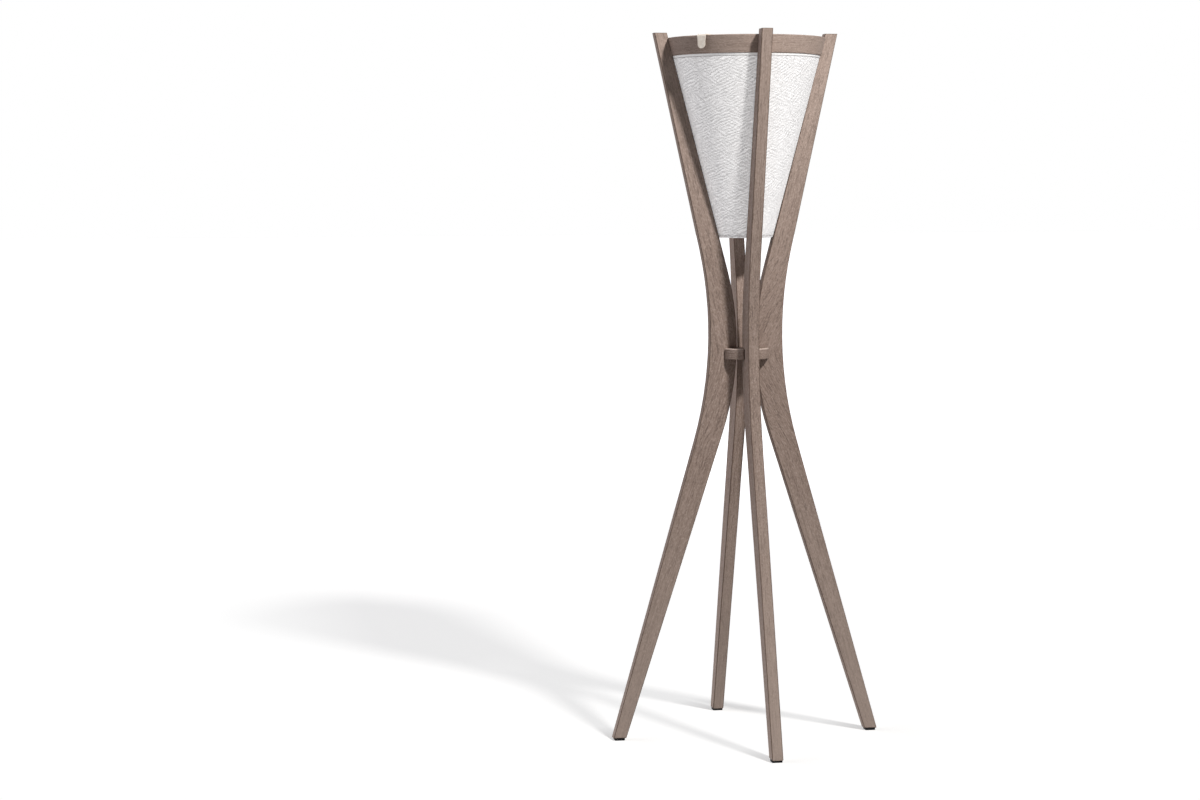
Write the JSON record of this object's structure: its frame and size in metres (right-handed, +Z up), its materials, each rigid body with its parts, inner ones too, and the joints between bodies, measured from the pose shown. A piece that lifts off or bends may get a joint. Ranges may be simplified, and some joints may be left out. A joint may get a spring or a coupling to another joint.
{
  "type": "solar floor lamp",
  "caption": "Floor lamp on bowed wooden legs lapped into a waist hub, with a tapered white fabric shade in a wooden ring and a lift-out solar light pulled by a leather strap.",
  "frame": {"origin": "on the floor, centred between the feet, on the lamp's axis", "axes": "+Z up along the lamp's axis, -Y towards the front leg, +X towards the right leg"},
  "size_m": [0.5812, 0.5812, 1.5],
  "materials": {
    "wood": "stained, fine straight grain, matt",
    "glide": "moulded",
    "steel": "zinc plated",
    "shade_ring": "sheet",
    "shade_cloth": "fine slanting weave, matt",
    "tray": "moulded, fine texture",
    "cover": "bead blasted and anodised",
    "gasket": "matt",
    "panel_glass": "tempered, smooth",
    "solar_cell": "dark blue silicon with silver lines",
    "back_sheet": "smooth",
    "led_board": "white solder mask",
    "led": "phosphor",
    "diffuser": "opal",
    "holder": "moulded",
    "battery": "shrink sleeve",
    "circuit_board": "green solder mask",
    "component": "moulded",
    "button": "soft touch",
    "strap_leather": "natural, fine grain",
    "rivet": "satin",
    "lead": "insulated"
  },
  "bodies": {
    "lamp_frame": {"leg_front": "wood", "leg_right": "wood", "leg_back": "wood", "leg_left": "wood", "glide_front": "glide", "glide_right": "glide", "glide_back": "glide", "glide_left": "glide", "glide_pins": "steel", "waist_hub": "wood", "rim_ring": "wood", "leg_screws": "steel", "shade_top_ring": "shade_ring", "shade_screws": "steel", "shade_bottom_hoop": "steel", "shade_fabric": "shade_cloth"},
    "solar_module": {"cover_screws": "steel", "led_screws": "steel", "diffuser_screws": "steel", "board_screws": "steel", "module_tray": "tray", "top_cover": "cover", "cover_gasket": "gasket", "solar_glass": "panel_glass", "solar_cells": "solar_cell", "solar_back_sheet": "back_sheet", "led_board": "led_board", "led_chips": "led", "diffuser": "diffuser", "battery_holder": "holder", "battery_cells": "battery", "control_board": "circuit_board", "board_components": "component", "push_switch": "component", "pull_strap": "strap_leather", "strap_rivet": "rivet", "inner_leads": "lead"},
    "button": {"power_button": "button"}
  },
  "joints": [
    {"name": "module_lift", "type": "slide", "parent": "lamp_frame", "child": "solar_module", "axis": [0, 0, 1], "range_m": [0, 0.12]},
    {"name": "button_press", "type": "slide", "parent": "solar_module", "child": "button", "axis": [0, 0, 1], "range_m": [0, 0.0015], "stiffness_N_per_m": 300, "springref_m": -0.003}
  ]
}
